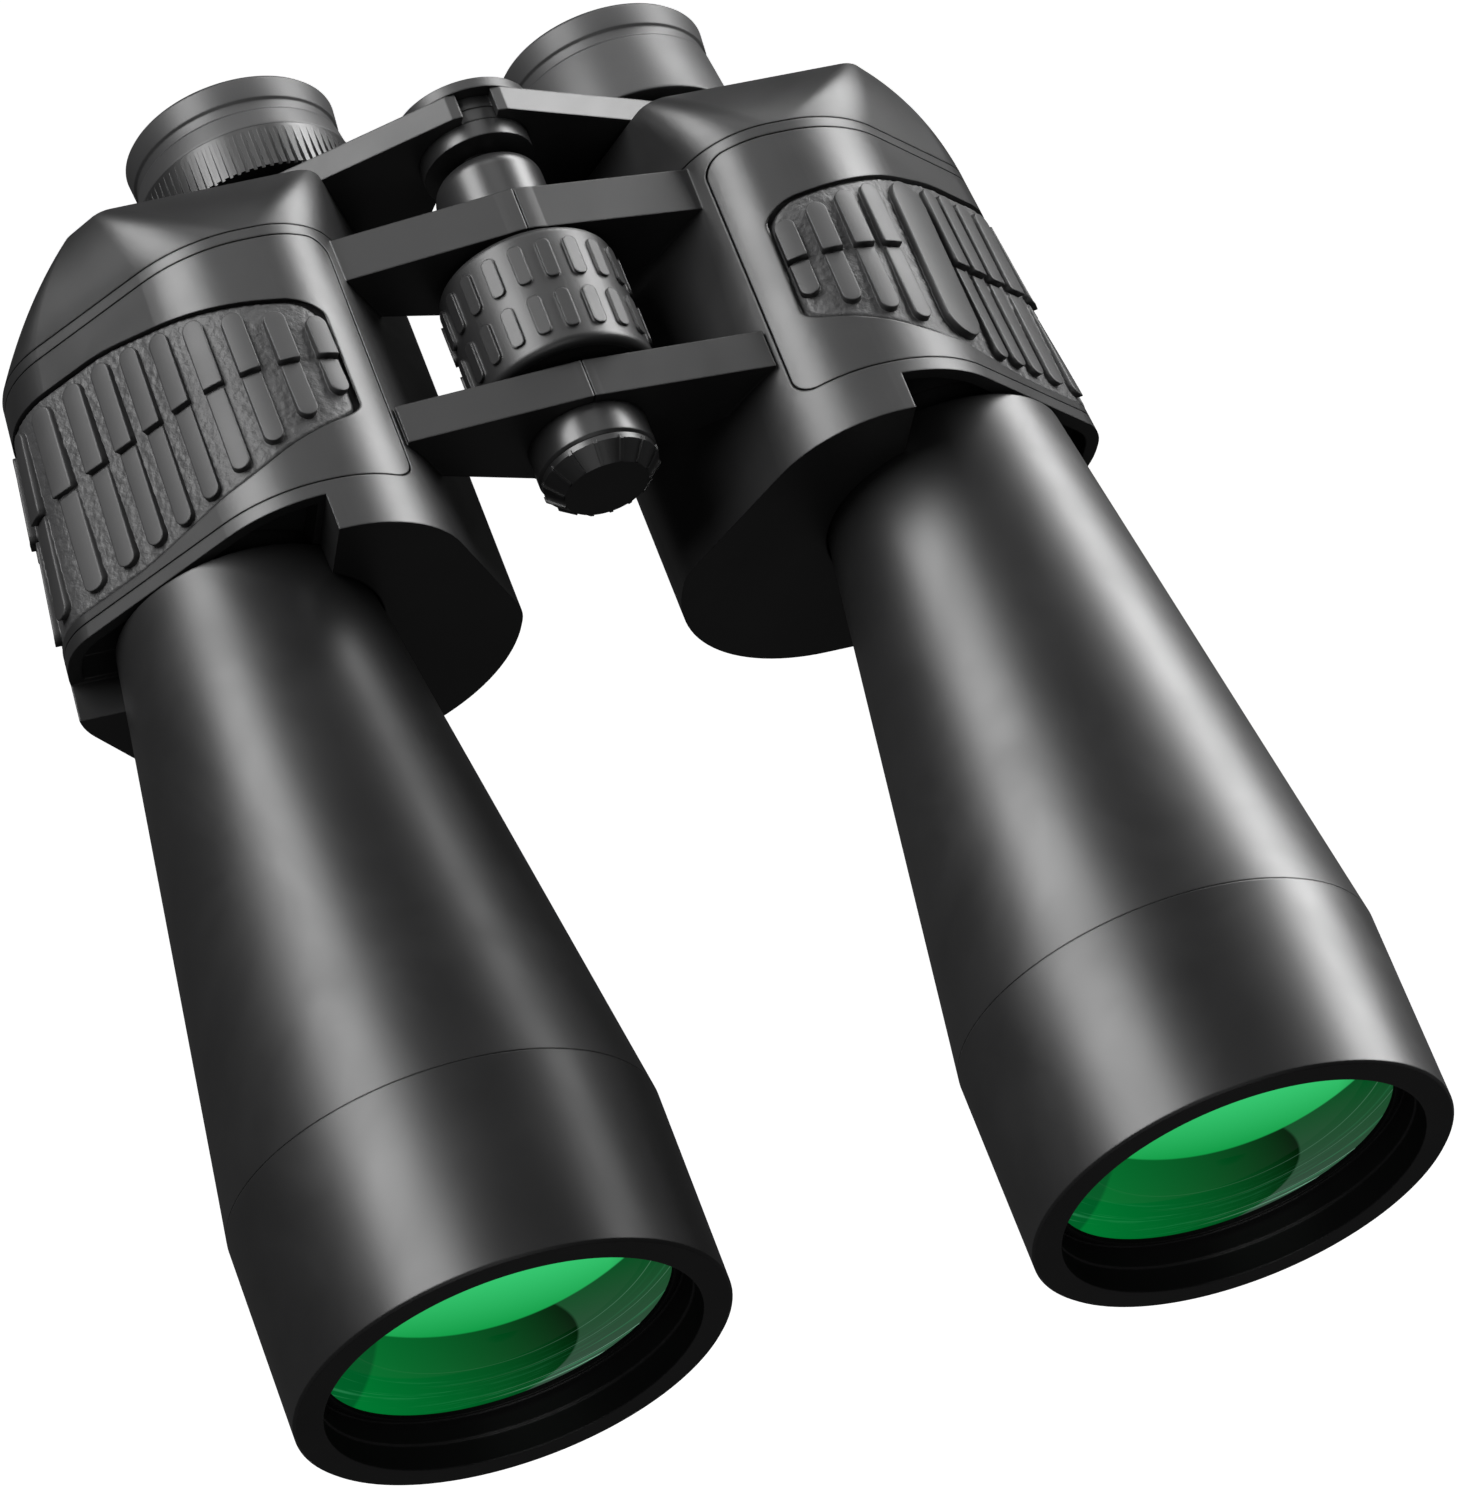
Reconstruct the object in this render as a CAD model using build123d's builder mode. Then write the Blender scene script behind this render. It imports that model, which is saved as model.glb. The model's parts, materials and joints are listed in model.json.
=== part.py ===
"""Large centre-focus Porro prism binoculars for astronomy, 15x70 class.

Frame: millimetres, +Z up, Y along the optical axes with the objectives at -Y and
the eyepieces at +Y. The centre hinge lies on the Y axis, and the origin is the
mouth of the tripod socket in the nose of that hinge. Left and right are the
user's, so right-hand pieces are on the -X side.
A "station" is a distance behind the front rims of the objective hoods.
"""
from build123d import *
import math
import os

os.makedirs("parts", exist_ok=True)

# ---- driving dimensions ------------------------------------------------------
SOCKET_STATION = 163.4          # tripod socket mouth, which is Y = 0
LEFT, RIGHT = 1, -1             # sign of X on each side

# optical axes, as (X, Z) on the left side
OBJECTIVE = (69.4, -18.8)
MIDDLE = (51.65, -4.95)         # the folded path between the two prisms
EYEPIECE = (37.8, -22.7)
HINGE = (0.0, 0.0)

# objective end
HOOD_R = 40.5
HOOD_OPENING_R = 35.0
HOOD_LENGTH = 39.6
BARREL_TAPER = 0.1338           # radius lost for each millimetre back
BARREL_END = 172.0
BARREL_WALL = 2.0
THROAT_FROM = 161.4               # the barrel steps in behind here
THROAT_R = 20.6
SPIGOT_R = 17.0
LENS_R = 34.4
LENS_EDGE = 10.6                # station of the front edge of the crown lens

# prism housing
FRONT_FACE = 154.0
SKIRT_FACE = 162.0              # the outer upper part is set back to here
SEAM = 222.8
BACK_FACE = 239.6
WALL = 3.4
FRONT_INSET = 5.0
SKIN = 1.5                      # thickness of the rubber armour
LEDGE = 210.6                   # the prism shelf rests here
SHELF_T = 2.4
ARMOUR_FROM, ARMOUR_TO = 164.8, 220.6
ARMOUR_X = 37.3
ARMOUR_CORNER_R = 3.8
GROOVE = 0.25

# prisms: right-angle prisms that shift the path by 22.5 mm
PRISM_W = 22.6
PRISM_HALF = 22.6

# centre hinge and bridge plates
HUB_R = 13.6
TONGUE_R = 10.0
LOWER_PLATE = (173.2, 181.4)
UPPER_PLATE = (212.6, 222.1)
PIN_R = 5.0
BUSH_R = 7.5
ROD_R = 4.8
FIT = 0.05                      # radial clearance of running fits

# focus wheel
WHEEL_FROM, WHEEL_TO = 183.4, 210.2
WHEEL_R = 17.3
PAD_PROUD = 0.6
PAD_COLUMNS = 20

# eyepieces
ARM_FROM, ARM_TO = 241.0, 246.4
SLIDE_R = 9.5
RING_R = 19.0
EYE_SHELL_R = 16.0

# cross-sections of the housing on the left side: (X, Z, corner radius)
FRONT_SECTION = ((38.5, 17.2, 26), (66.3, 17.2, 28), (103.0, -17.6, 10), (103.0, -30.0, 20),
                 (77.5, -62.5, 36), (16.0, -62.5, 34), (16.0, -24.1, 12))
SEAM_SECTION = ((40.6, 16.9, 18), (64.7, 16.9, 28), (97.0, -13.6, 18), (97.0, -30.0, 24),
                (75.0, -61.5, 34), (16.0, -61.5, 33), (16.0, -24.1, 12))
BELLY = 231.2                   # station of the cover's fullest section
BELLY_SECTION = ((36.6, 14.0, 12), (70.6, 13.4, 15.5), (90.4, -5.6, 10), (90.6, -32.4, 18),
                 (73.0, -59.0, 26), (17.3, -59.0, 29.5), (17.5, -24.1, 9))
BACK_SECTION = ((33.2, 8.2, 6), (75.0, 7.6, 5), (81.3, 0.6, 4), (81.3, -34.0, 12),
                (70.0, -54.0, 18), (19.5, -54.0, 26), (19.5, -24.0, 6))

# screws on the left side
COVER_SCREWS = ((37.0, 3.0), (77.6, -1.0), (60.0, -49.5))
SHELF_SCREWS = ((55.0, -54.5), (89.0, -28.0), (26.6, -37.4))
POST_R = 2.4
PILLAR_R = 4.0
SCREW_R = 1.0
SCREW_HEAD_R = 2.1


# ---- helpers -----------------------------------------------------------------
def y_at(station):
    return station - SOCKET_STATION


def cross(station):
    """Plane across the optical axis at a station: local x is X, local y is Z, normal is -Y."""
    return Plane.XZ.offset(-y_at(station))


def axis_plane(centre, side=LEFT):
    """Lathe plane through an axis parallel to Y: local x is the radius, local y is Y."""
    return Plane(origin=(side * centre[0], 0, centre[1]), x_dir=(1, 0, 0), z_dir=(0, 0, 1))


def axis_line(centre, side=LEFT):
    return Axis((side * centre[0], 0, centre[1]), (0, 1, 0))


def turned(centre, side, outline):
    """A turned piece from its closed outline of (radius, station) points."""
    with BuildPart() as piece:
        with BuildSketch(axis_plane(centre, side)):
            with BuildLine():
                Polyline(*[(r, y_at(s)) for r, s in outline], close=True)
            make_face()
        revolve(axis=axis_line(centre, side))
    return piece


def write(piece, name):
    piece.part.label = name
    export_step(piece.part, "parts/" + name + ".step")


def named(side, name):
    return ("left_" if side == LEFT else "right_") + name


def section(station, corners, side, inset=0.0):
    """Sketch of a rounded housing cross-section, shrunk by inset."""
    with BuildSketch(cross(station)) as outline:
        with BuildLine():
            Polyline(*[(side * x, z) for x, z, radius in corners], close=True)
        make_face()
        for x, z, radius in corners:
            fillet(outline.vertices().sort_by_distance((side * x, z, 0))[0], radius)
        if inset:
            offset(amount=-inset, kind=Kind.TANGENT)
    return outline


def flared(side, inset=0.0):
    """The flared housing form between the front face and the seam."""
    front = section(FRONT_FACE, FRONT_SECTION, side, inset)
    seam = section(SEAM, SEAM_SECTION, side, inset)
    with BuildPart() as form:
        loft(sections=[front.sketch.face(), seam.sketch.face()], ruled=True)
    return form


def block(side, x_range, station_range, z_range):
    """A plain block, used only to trim or bound other forms."""
    x0, x1 = x_range
    s0, s1 = station_range
    z0, z1 = z_range
    centre = (side * (x0 + x1) / 2, y_at((s0 + s1) / 2), (z0 + z1) / 2)
    return Pos(*centre) * Box(x1 - x0, s1 - s0, z1 - z0)


# ---- bridge plates and hinge knuckles ----------------------------------------
# Each plate is two arms that lap at the hinge: the left arm's round tongue is
# the rear half of the plate, and the right arm's tongue is the front half.
ARM_GAP = 0.15                  # half the split between the arms' upper ends
FOLD_SLOPE = 0.6                # the arms are cut away under the axis, so they can fold
LAP_GAP = 0.1


def lug(side, stations, outer, bore, hub_r, tongue_r, half_gap, fold_slope=FOLD_SLOPE):
    """One arm of a bridge plate, from its lapped knuckle out to the points in outer."""
    front, rear = stations
    middle = (front + rear) / 2
    if side == LEFT:
        tongue, relief = (middle + LAP_GAP, rear), (front - 1, middle + LAP_GAP)
    else:
        tongue, relief = (front, middle - LAP_GAP), (middle - LAP_GAP, rear + 1)
    reach = 2 * hub_r
    with BuildPart() as arm:
        with BuildSketch(cross(rear)):
            Circle(hub_r)
            with BuildLine():
                Polyline((0, hub_r), *[(side * x, z) for x, z in outer], (0, -hub_r), close=True)
            make_face()
            with BuildLine(mode=Mode.PRIVATE) as other_half:
                Polyline((side * half_gap, reach), (side * half_gap, 0),
                         (side * (half_gap + fold_slope * reach), -reach),
                         (-side * reach, -reach), (-side * reach, reach), close=True)
            make_face(other_half.edges(), mode=Mode.SUBTRACT)
        extrude(amount=rear - front)
        with BuildSketch(cross(relief[1])):
            Circle(tongue_r + 4 * FIT)
        extrude(amount=relief[1] - relief[0], mode=Mode.SUBTRACT)
        with BuildSketch(cross(tongue[1])):
            Circle(tongue_r)
        extrude(amount=tongue[1] - tongue[0])
        with BuildSketch(cross(rear + 1)):
            Circle(bore)
        extrude(amount=rear - front + 2, mode=Mode.SUBTRACT)
    return arm


# ---- prism housing -----------------------------------------------------------
POCKET_CLEAR = 0.4              # round the barrel where it enters the housing
POCKET_WALL = 3.0
BARREL_SEAT = 176.0             # rear of the wall that the barrel screws into
NOTCH_X = 56.0                  # the set-back part of the front face starts here
LOBE_Z = -29.0                  # and ends above the lower lobe
RECESS_END = 167.0              # it is hollow back to here, round the barrel
RECESS_WALL = 1.2


def barrel_r(station):
    return HOOD_R - BARREL_TAPER * (station - HOOD_LENGTH)


def armour_zone(side, inset=0.0):
    """Tall prism over the armoured part of the housing, with rounded inner corners."""
    inner, outer = ARMOUR_X + inset, 130.0
    front, rear = ARMOUR_FROM + inset, ARMOUR_TO - inset
    with BuildPart() as zone:
        with BuildSketch(Plane.XY.offset(-90)) as outline:
            with Locations((side * (inner + outer) / 2, y_at((front + rear) / 2))):
                Rectangle(outer - inner, rear - front)
            for station in (front, rear):
                near = outline.vertices().sort_by_distance((side * inner, y_at(station), 0))[0]
                fillet(near, ARMOUR_CORNER_R)
        extrude(amount=150)
    return zone


def cavity_section(station, side, inset):
    return section(station, SEAM_SECTION, side, inset)


def housing(side):
    form = flared(side)
    inner_form = flared(side, SKIN + 0.1)
    upper = lug(side, UPPER_PLATE, ((37.5, 8.2), (37.5, -2.5)), BUSH_R + FIT, HUB_R, TONGUE_R, ARM_GAP)
    lower = lug(side, LOWER_PLATE, ((36.0, 11.0), (36.0, 0.5)), PIN_R + FIT, HUB_R, TONGUE_R, ARM_GAP)
    with BuildPart() as pocket:
        add(armour_zone(side).part)
        add(inner_form.part, mode=Mode.SUBTRACT)
    setback = block(side, (NOTCH_X, 130), (FRONT_FACE - 2, SKIRT_FACE), (LOBE_Z, 60))
    setback_wall = block(side, (NOTCH_X - WALL, 130), (FRONT_FACE - 2, RECESS_END + WALL),
                         (LOBE_Z - WALL, 60))
    recess_zone = block(side, (NOTCH_X + RECESS_WALL, 130), (FRONT_FACE, RECESS_END),
                        (LOBE_Z + RECESS_WALL, 60))
    with BuildPart() as recess:
        add(flared(side, SKIN + RECESS_WALL).part)
        add(recess_zone, mode=Mode.INTERSECT)
    # front cavity, with the tube that holds the barrel and the shelf pillars left standing
    with BuildPart() as front_cavity:
        with BuildSketch(cross(BARREL_SEAT)):
            add(cavity_section(BARREL_SEAT, side, FRONT_INSET).sketch_local)
            with Locations((side * OBJECTIVE[0], OBJECTIVE[1])):
                Circle(barrel_r(FRONT_FACE) + POCKET_WALL, mode=Mode.SUBTRACT)
            with Locations(*[(side * x, z) for x, z in SHELF_SCREWS]):
                Circle(PILLAR_R, mode=Mode.SUBTRACT)
        extrude(amount=BARREL_SEAT - FRONT_FACE - 4)
        add(setback_wall, mode=Mode.SUBTRACT)
    with BuildPart() as shell:
        add(form.part)
        add(upper.part)
        add(lower.part)
        add(pocket.part, mode=Mode.SUBTRACT)
        # the front face is set back above and outside the lower lobe, and hollow there
        add(setback, mode=Mode.SUBTRACT)
        add(recess.part, mode=Mode.SUBTRACT)
        add(front_cavity.part, mode=Mode.SUBTRACT)
        with BuildSketch(cross(LEDGE)):
            add(cavity_section(LEDGE, side, FRONT_INSET).sketch_local)
            with Locations(*[(side * x, z) for x, z in SHELF_SCREWS]):
                Circle(PILLAR_R, mode=Mode.SUBTRACT)
        extrude(amount=LEDGE - BARREL_SEAT, mode=Mode.SUBTRACT)
        # rear cavity, with the cover's screw posts left standing
        with BuildSketch(cross(SEAM + 1)):
            add(cavity_section(SEAM, side, WALL).sketch_local)
            with Locations(*[(side * x, z) for x, z in COVER_SCREWS]):
                Circle(POST_R, mode=Mode.SUBTRACT)
            with Locations((side * COVER_SCREWS[2][0], COVER_SCREWS[2][1] - 6)):
                Rectangle(2 * POST_R, 12, mode=Mode.SUBTRACT)
        extrude(amount=SEAM + 1 - LEDGE, mode=Mode.SUBTRACT)
        # shelf clearance under the posts
        with BuildSketch(cross(LEDGE + SHELF_T + 0.4)):
            add(cavity_section(SEAM, side, WALL).sketch_local)
        extrude(amount=SHELF_T + 0.4, mode=Mode.SUBTRACT)
        # barrel pocket and threaded seat
        with BuildSketch(axis_plane(OBJECTIVE, side)):
            with BuildLine():
                Polyline((0, y_at(FRONT_FACE - 1)),
                         (barrel_r(FRONT_FACE - 1) + POCKET_CLEAR, y_at(FRONT_FACE - 1)),
                         (barrel_r(THROAT_FROM) + POCKET_CLEAR, y_at(THROAT_FROM + POCKET_CLEAR)),
                         (THROAT_R + POCKET_CLEAR, y_at(THROAT_FROM + POCKET_CLEAR)),
                         (THROAT_R + POCKET_CLEAR, y_at(BARREL_END)),
                         (SPIGOT_R + FIT, y_at(BARREL_END)), (SPIGOT_R + FIT, y_at(BARREL_SEAT + 2.6)),
                         (0, y_at(BARREL_SEAT + 2.6)), close=True)
            make_face()
        revolve(axis=axis_line(OBJECTIVE, side), mode=Mode.SUBTRACT)
        # screw holes
        with BuildSketch(cross(SEAM + 1)):
            with Locations(*[(side * x, z) for x, z in COVER_SCREWS]):
                Circle(SCREW_R + FIT)
        extrude(amount=8, mode=Mode.SUBTRACT)
        with BuildSketch(cross(LEDGE + 1)):
            with Locations(*[(side * x, z) for x, z in SHELF_SCREWS]):
                Circle(SCREW_R + FIT)
        extrude(amount=9, mode=Mode.SUBTRACT)
    return shell


# ---- rubber armour and grip panel --------------------------------------------
# The grip window's outline is drawn on a plane that faces the upper outer flank.
# Its corners are (height up the flank, station, corner radius).
GRIP_TILT = 45.0                # degrees above level that the plane faces
GRIP_CENTRE = (65.1, -29.9)
PANEL_SINK = 0.5                # the panel between its ribs lies below the armour
GRIP_OUTLINE = ((47.2, 178.8, 4), (47.2, 205.0, 5), (9.0, 213.5, 40), (-33.0, 213.5, 9),
                (-33.0, 166.9, 9), (4.0, 166.9, 60), (31.0, 170.8, 30))
RIB_AXIS = (56.0, -22.0)        # the ribs are spaced round this line
RIB_W = 4.0
RIB_PROUD = 1.0
RIB_BREAK = 191.5               # station of the gap between a rib's two halves
RIB_GAP = 0.8
PLATE_RIB = (60.0, 9.6)         # angle and width of the left panel's wide, unbroken rib
RIB_ANGLES = {                  # degrees above level
    RIGHT: (104.5, 93.5, 82.5, 71.5, 60.5, 49.5, 38.5, 27.5, 16.5, 5.5, -5.5, -16.5, -27.5),
    LEFT: (104.5, 94.5, 85.0, 76.0, 44.5, 35.5, 26.5, 17.5, 8.5, -0.5, -9.5, -18.5, -27.5),
}


def grip_window(side, inset=0.0):
    """Prism through the flank with the grip panel's rounded outline."""
    tilt = math.radians(GRIP_TILT)
    facing = Plane(origin=(side * GRIP_CENTRE[0], 0, GRIP_CENTRE[1]), x_dir=(0, side, 0),
                   z_dir=(side * math.cos(tilt), 0, math.sin(tilt)))
    corners = [(side * y_at(station), height, radius) for height, station, radius in GRIP_OUTLINE]
    with BuildPart() as window:
        with BuildSketch(facing) as outline:
            with BuildLine():
                Polyline(*[(x, y) for x, y, radius in corners], close=True)
            make_face()
            for x, y, radius in corners:
                fillet(outline.vertices().sort_by_distance((x, y, 0))[0], radius)
            if inset:
                offset(amount=-inset, kind=Kind.TANGENT)
        extrude(amount=60)
        add(armour_zone(side, GROOVE).part, mode=Mode.INTERSECT)
    return window


def rib_ends(angle):
    """Front and rear stations of a rib, which follow the slanted window."""
    ahead = max(0.0, angle - 50.0)
    behind = max(0.0, angle - 40.0)
    return 169.5 + 0.09 * ahead + 0.003 * ahead**2, 211.2 - 0.1 * behind - 0.0009 * behind**2


def rib(side, angle, width, broken):
    """Capsule rib standing outward from the rib axis, in two halves if broken."""
    front, rear = rib_ends(angle)
    turn = math.radians(angle)
    facing = Plane(origin=(side * RIB_AXIS[0], 0, RIB_AXIS[1]), x_dir=(0, side, 0),
                   z_dir=(side * math.cos(turn), 0, math.sin(turn)))
    with BuildPart() as bar:
        with BuildSketch(facing):
            with Locations((side * y_at((front + rear) / 2), 0)):
                SlotOverall(rear - front, width)
            if broken:
                with Locations((side * y_at(RIB_BREAK), 0)):
                    Rectangle(RIB_GAP, width + 1, mode=Mode.SUBTRACT)
        extrude(amount=70)
    return bar


def armour(side):
    outer = flared(side)
    core = flared(side, SKIN)
    with BuildPart() as skin:
        add(outer.part)
        add(armour_zone(side, GROOVE).part, mode=Mode.INTERSECT)
        add(core.part, mode=Mode.SUBTRACT)
        add(grip_window(side).part, mode=Mode.SUBTRACT)
    return skin


def grip(side):
    """Inset panel with two-part ribs along the optical axis."""
    bars = [rib(side, angle, RIB_W, True) for angle in RIB_ANGLES[side]]
    if side == LEFT:
        bars.append(rib(side, *PLATE_RIB, False))
    with BuildPart() as ribs:
        for bar in bars:
            add(bar.part)
        add(flared(side, -RIB_PROUD).part, mode=Mode.INTERSECT)
    with BuildPart() as panel:
        add(flared(side, PANEL_SINK).part)
        add(grip_window(side, GROOVE).part, mode=Mode.INTERSECT)
        add(ribs.part)
        add(flared(side, SKIN).part, mode=Mode.SUBTRACT)
    return panel


# ---- back cover --------------------------------------------------------------
COVER_WALL = 2.6
GUIDE_R = 10.7


def back_cover(side):
    seam = section(SEAM + 0.2, SEAM_SECTION, side)
    belly = section(BELLY, BELLY_SECTION, side)
    back = section(BACK_FACE, BACK_SECTION, side)
    inner_seam = section(SEAM, SEAM_SECTION, side, COVER_WALL)
    inner_back = section(BACK_FACE - COVER_WALL, BACK_SECTION, side, COVER_WALL)
    with BuildPart() as cavity:
        loft(sections=[inner_seam.sketch.face(), inner_back.sketch.face()], ruled=True)
        with BuildSketch(cross(BACK_FACE)):
            with Locations(*[(side * x, z) for x, z in COVER_SCREWS]):
                Circle(POST_R)
            with Locations((side * COVER_SCREWS[2][0], COVER_SCREWS[2][1] - 6)):
                Rectangle(2 * POST_R, 12)
        extrude(amount=BACK_FACE - SEAM, mode=Mode.SUBTRACT)
    with BuildPart() as cover:
        loft(sections=[seam.sketch.face(), belly.sketch.face(), back.sketch.face()])
        add(cavity.part, mode=Mode.SUBTRACT)
        with BuildSketch(cross(BACK_FACE + 1)):
            with Locations((side * EYEPIECE[0], EYEPIECE[1])):
                Circle(GUIDE_R + FIT)
        extrude(amount=COVER_WALL + 2, mode=Mode.SUBTRACT)
        with BuildSketch(cross(BACK_FACE + 1)):
            with Locations(*[(side * x, z) for x, z in COVER_SCREWS]):
                Circle(SCREW_R + FIT)
        extrude(amount=BACK_FACE - SEAM + 2, mode=Mode.SUBTRACT)
        with BuildSketch(cross(BACK_FACE + 1)):
            with Locations(*[(side * x, z) for x, z in COVER_SCREWS]):
                Circle(SCREW_HEAD_R + FIT)
        extrude(amount=2.8, mode=Mode.SUBTRACT)
    return cover


def screws(side, places, head_station, length):
    """Pan-head screws with a cross slot, heads to the rear."""
    with BuildPart() as group:
        for x, z in places:
            with BuildSketch(cross(head_station)):
                with Locations((side * x, z)):
                    Circle(SCREW_HEAD_R)
            extrude(amount=1.1)
            with BuildSketch(cross(head_station - 1.1)):
                with Locations((side * x, z)):
                    Circle(SCREW_R)
            extrude(amount=length)
            with BuildSketch(cross(head_station)):
                with Locations((side * x, z)):
                    Rectangle(2.6, 0.6)
                    Rectangle(0.6, 2.6)
            extrude(amount=0.6, mode=Mode.SUBTRACT)
    return group


# ---- prisms, shelf and clips -------------------------------------------------
CLIP_T = 0.6
CLIP_W = 6.0


def prism_frame(side, start, end, station, rearward):
    """Plane along a prism's long side: local x from start to end axis, local y to its apex."""
    middle = ((start[0] + end[0]) / 2, (start[1] + end[1]) / 2)
    along = Vector(side * (end[0] - start[0]), 0, end[1] - start[1]).normalized()
    apex = Vector(0, 1 if rearward else -1, 0)
    return Plane(origin=(side * middle[0], y_at(station), middle[1]), x_dir=along,
                 z_dir=along.cross(apex))


def prism(frame):
    """Right-angle glass prism with its long face on the shelf."""
    with BuildPart() as glass:
        with BuildSketch(frame):
            with BuildLine():
                Polyline((-PRISM_HALF, 0), (PRISM_HALF, 0), (0, PRISM_HALF), close=True)
            make_face()
        extrude(amount=PRISM_W / 2, both=True)
        chamfer(glass.edges().filter_by(Axis.Y, reverse=True).sort_by(SortBy.LENGTH)[0:1], 0.4)
    return glass


def clip(frame):
    """Bent spring strap over a prism's apex."""
    gap = 0.15
    inner = PRISM_HALF + gap * math.sqrt(2)
    outer = inner + CLIP_T * math.sqrt(2)
    foot = 0.2
    with BuildPart() as strap:
        with BuildSketch(frame):
            with BuildLine():
                Polyline((-(outer - foot), foot), (0, outer), (outer - foot, foot),
                         (inner - foot, foot), (0, inner), (-(inner - foot), foot), close=True)
            make_face()
        extrude(amount=CLIP_W / 2, both=True)
    return strap


def shelf(side):
    """Plate that both prisms bear on, with windows for the three light paths."""
    with BuildPart() as plate:
        with BuildSketch(cross(LEDGE + SHELF_T + 0.1)):
            add(cavity_section(SEAM, side, WALL + 0.3).sketch_local)
            with Locations(*[(side * x, z) for x, z in (OBJECTIVE, MIDDLE, EYEPIECE)]):
                Circle(9.6, mode=Mode.SUBTRACT)
            with Locations(*[(side * x, z) for x, z in SHELF_SCREWS]):
                Circle(SCREW_R + FIT, mode=Mode.SUBTRACT)
        extrude(amount=SHELF_T)
    return plate


# ---- objective end -----------------------------------------------------------
def hood(side):
    """Front sleeve of the objective, with the lens seat inside."""
    bore = HOOD_OPENING_R
    seat = LENS_R + FIT
    outline = [(bore, 0), (HOOD_R - 0.5, 0), (HOOD_R, 0.5), (HOOD_R, HOOD_LENGTH),
               (37.5 + FIT, HOOD_LENGTH), (37.5 + FIT, 25.0), (31.8, 25.0), (31.8, 22.4), (seat, 22.4),
               (seat, 9.6), (bore - 0.35, 9.6), (bore - 0.35, 5.2), (bore, 5.0)]
    return turned(OBJECTIVE, side, outline)


def barrel(side):
    """Tapered tube from the hood to the prism housing."""
    front = HOOD_LENGTH + 0.1
    spigot_front = HOOD_LENGTH - 12.0
    outline = [(37.5, spigot_front), (37.5, front), (barrel_r(front), front),
               (barrel_r(THROAT_FROM), THROAT_FROM), (THROAT_R, THROAT_FROM),
               (THROAT_R, BARREL_END - 0.1), (SPIGOT_R, BARREL_END - 0.1),
               (SPIGOT_R, BARREL_SEAT + 2.0), (SPIGOT_R - BARREL_WALL, BARREL_SEAT + 2.0),
               (SPIGOT_R - BARREL_WALL, BARREL_END - BARREL_WALL),
               (THROAT_R - BARREL_WALL, BARREL_END - BARREL_WALL),
               (THROAT_R - BARREL_WALL, THROAT_FROM - BARREL_WALL),
               (barrel_r(THROAT_FROM) - BARREL_WALL, THROAT_FROM - BARREL_WALL),
               (barrel_r(front) - 2 * BARREL_WALL, front), (37.5 - BARREL_WALL, front - 1),
               (37.5 - BARREL_WALL, spigot_front)]
    return turned(OBJECTIVE, side, outline)


def face_arc(radius, edge, sag, forward):
    """Middle and centre-line points of a spherical face that meets radius at station edge."""
    ball = (radius ** 2 + sag ** 2) / (2 * sag)
    half = math.asin(radius / ball) / 2
    way = -1 if forward else 1
    vertex = edge + way * sag
    return (ball * math.sin(half), y_at(vertex - way * ball * (1 - math.cos(half)))), (0, y_at(vertex))


def lens(centre, side, radius, front, front_sag, rear, rear_sag):
    """A lens by its edge stations; a positive sag bulges that face out of the lens."""
    front_mid, nose = face_arc(radius, front, front_sag, True)
    rear_mid, tail = face_arc(radius, rear, rear_sag, False)
    with BuildPart() as glass:
        with BuildSketch(axis_plane(centre, side)):
            with BuildLine():
                Line(tail, nose)
                ThreePointArc(nose, front_mid, (radius, y_at(front)))
                Line((radius, y_at(front)), (radius, y_at(rear)))
                ThreePointArc((radius, y_at(rear)), rear_mid, tail)
            make_face()
        revolve(axis=axis_line(centre, side))
    return glass


def retaining_ring(side):
    """Stepped threaded ring that holds the objective lens in the hood."""
    thread = LENS_R
    outline = [(thread - 0.4, 9.7), (thread - 0.4, 9.8), (thread, 10.0), (thread, LENS_EDGE - 0.05),
               (32.4, LENS_EDGE - 0.7), (32.4, 8.9), (33.0, 8.9), (33.0, 9.3), (33.5, 9.3), (33.5, 9.7)]
    return turned(OBJECTIVE, side, outline)


def baffle(side):
    """Knife-edge ring that traps stray light inside the barrel."""
    station = 110.0
    outer = barrel_r(station + 1) - 4.2
    outline = [(outer, station), (outer, station + 1.0), (22.0, station + 0.4), (22.0, station)]
    return turned(OBJECTIVE, side, outline)


# ---- centre hinge ------------------------------------------------------------
COLLAR_R = 11.6
COLLAR_FRONT = 166.2
CAP_SPIGOT_R = 6.5
SOCKET_R = 2.55                 # tapping size of a 1/4-20 thread
SOCKET_DEPTH = 4.8
STUB_END = 189.5
SLEEVE_R = 10.6
SLEEVE_END = 235.0


def hinge_axle():
    """Hinge nose and front pin, with the tripod socket in its end."""
    outline = [(SOCKET_R, SOCKET_STATION), (CAP_SPIGOT_R, SOCKET_STATION), (CAP_SPIGOT_R, COLLAR_FRONT),
               (COLLAR_R - 0.6, COLLAR_FRONT), (COLLAR_R, COLLAR_FRONT + 0.6),
               (COLLAR_R, LOWER_PLATE[0] - 0.1), (PIN_R, LOWER_PLATE[0] - 0.1), (PIN_R, STUB_END),
               (0, STUB_END), (0, SOCKET_STATION + SOCKET_DEPTH), (SOCKET_R, SOCKET_STATION + SOCKET_DEPTH)]
    return turned(HINGE, LEFT, outline)


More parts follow.
